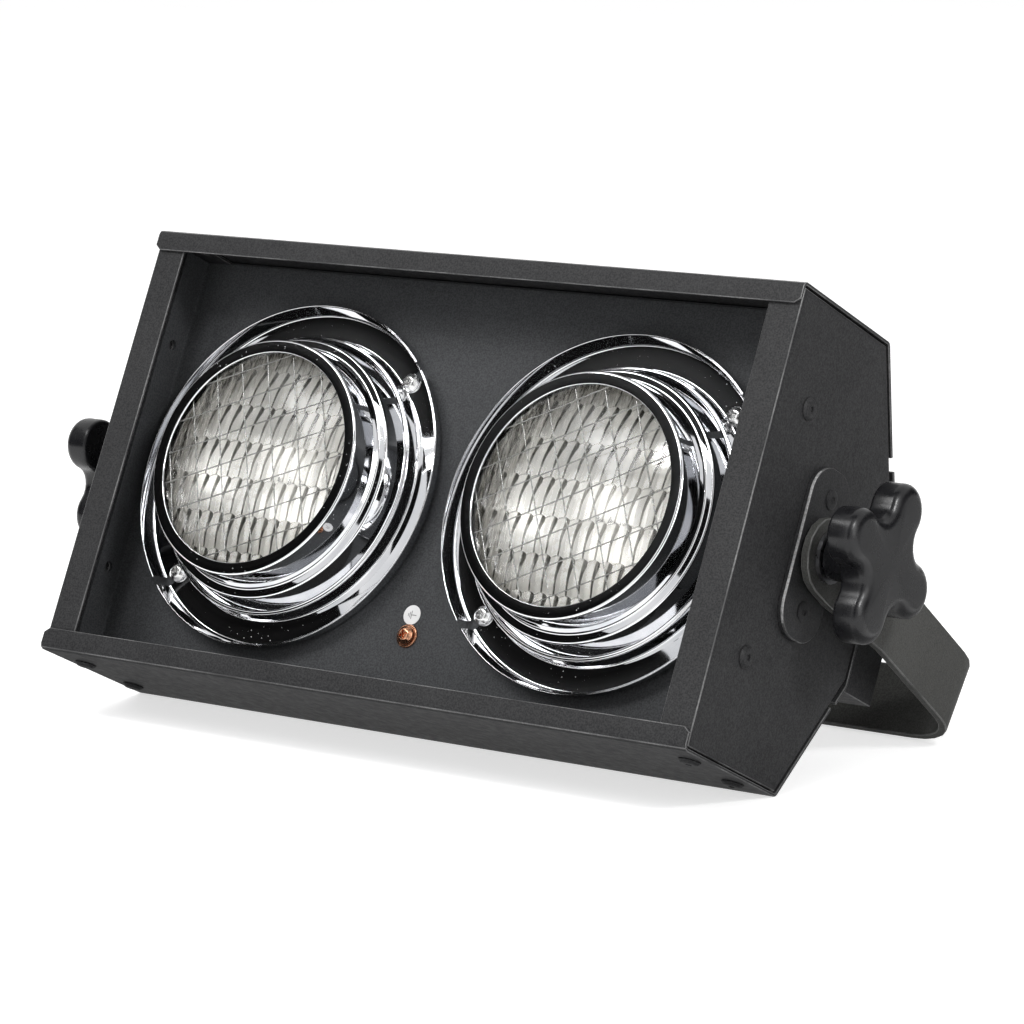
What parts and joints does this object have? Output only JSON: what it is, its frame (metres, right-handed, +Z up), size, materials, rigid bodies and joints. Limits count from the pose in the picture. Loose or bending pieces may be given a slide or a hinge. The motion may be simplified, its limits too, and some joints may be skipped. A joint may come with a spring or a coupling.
{
  "type": "audience blinder light",
  "caption": "Stage blinder with sealed-beam lamps in chrome bezels behind wire guards, in a folded black steel head that tilts in a flat-bar yoke with clamp knobs.",
  "frame": {"origin": "on the floor, under the middle of the light's box", "axes": "+X to the right of someone who looks at the lamps, -Y the way the lamps face, +Z up"},
  "size_m": [0.4556, 0.229, 0.2266],
  "materials": {
    "housing_paint": "black powder coat with a fine texture, half matt",
    "panel_paint": "smooth black powder coat, half matt",
    "yoke_paint": "black powder coat with a fine texture, half matt",
    "chrome": "bright chrome plate with a few pits",
    "guard_wire": "bright zinc-plated wire",
    "lens_glass": "pressed fluted glass",
    "reflector": "aluminised glass",
    "tungsten": "dark grey wire",
    "zinc_steel": "zinc plated",
    "brass": "machined",
    "copper": "copper plated, slightly tarnished",
    "knob_plastic": "moulded black plastic, satin",
    "washer_fibre": "vulcanised fibre",
    "ceramic": "unglazed ceramic",
    "lamp_lead": "heat-proof glass-fibre sleeve",
    "earth_lead": "green and yellow insulation",
    "gland_nylon": "moulded nylon"
  },
  "bodies": {
    "yoke": {"yoke": "yoke_paint"},
    "head": {"bezel_left": "chrome", "bezel_right": "chrome", "bezel_screw_left_lower": "chrome", "bezel_screw_left_upper": "chrome", "bezel_screw_right_lower": "chrome", "bezel_screw_right_upper": "chrome", "bottom_rivet_front_left": "housing_paint", "bottom_rivet_front_right": "housing_paint", "bottom_rivet_rear_left": "housing_paint", "bottom_rivet_rear_right": "housing_paint", "bottom_shell": "housing_paint", "cable_gland": "gland_nylon", "clamp_washer_left": "zinc_steel", "clamp_washer_right": "zinc_steel", "earth_lead": "earth_lead", "earth_screw": "copper", "earth_washer": "copper", "filament_left": "tungsten", "filament_right": "tungsten", "friction_washer_left": "washer_fibre", "friction_washer_right": "washer_fibre", "gland_cap": "gland_nylon", "gland_locknut": "gland_nylon", "guard_left": "guard_wire", "guard_right": "guard_wire", "lamp_lead_left": "lamp_lead", "lamp_lead_right": "lamp_lead", "lamp_panel": "panel_paint", "lens_left": "lens_glass", "lens_right": "lens_glass", "pivot_bolt_left": "zinc_steel", "pivot_bolt_right": "zinc_steel", "pivot_plate_left": "housing_paint", "pivot_plate_right": "housing_paint", "rear_box": "housing_paint", "rear_cover": "housing_paint", "reflector_left": "reflector", "reflector_right": "reflector", "retaining_ring_left": "zinc_steel", "retaining_ring_right": "zinc_steel", "side_plate_left": "housing_paint", "side_plate_right": "housing_paint", "side_rivet_lower_left": "housing_paint", "side_rivet_lower_right": "housing_paint", "side_rivet_upper_left": "housing_paint", "side_rivet_upper_right": "housing_paint", "terminal_block": "ceramic", "top_rivet_front_left": "housing_paint", "top_rivet_front_right": "housing_paint", "top_rivet_rear_left": "housing_paint", "top_rivet_rear_right": "housing_paint", "top_shell": "housing_paint"},
    "knob_left": {"knob_insert_left": "brass", "knob_left": "knob_plastic"},
    "knob_right": {"knob_insert_right": "brass", "knob_right": "knob_plastic"}
  },
  "joints": [
    {"name": "head_tilt", "type": "hinge", "parent": "yoke", "child": "head", "pos_m": [0, -0.01551, 0.10473], "axis": [1, 0, 0], "continuous": true},
    {"name": "knob_turn_left", "type": "hinge", "parent": "head", "child": "knob_left", "pos_m": [-0.2124, -0.01551, 0.10473], "axis": [-1, 0, 0], "continuous": true},
    {"name": "knob_turn_right", "type": "hinge", "parent": "head", "child": "knob_right", "pos_m": [0.2124, -0.01551, 0.10473], "axis": [1, 0, 0], "continuous": true}
  ]
}
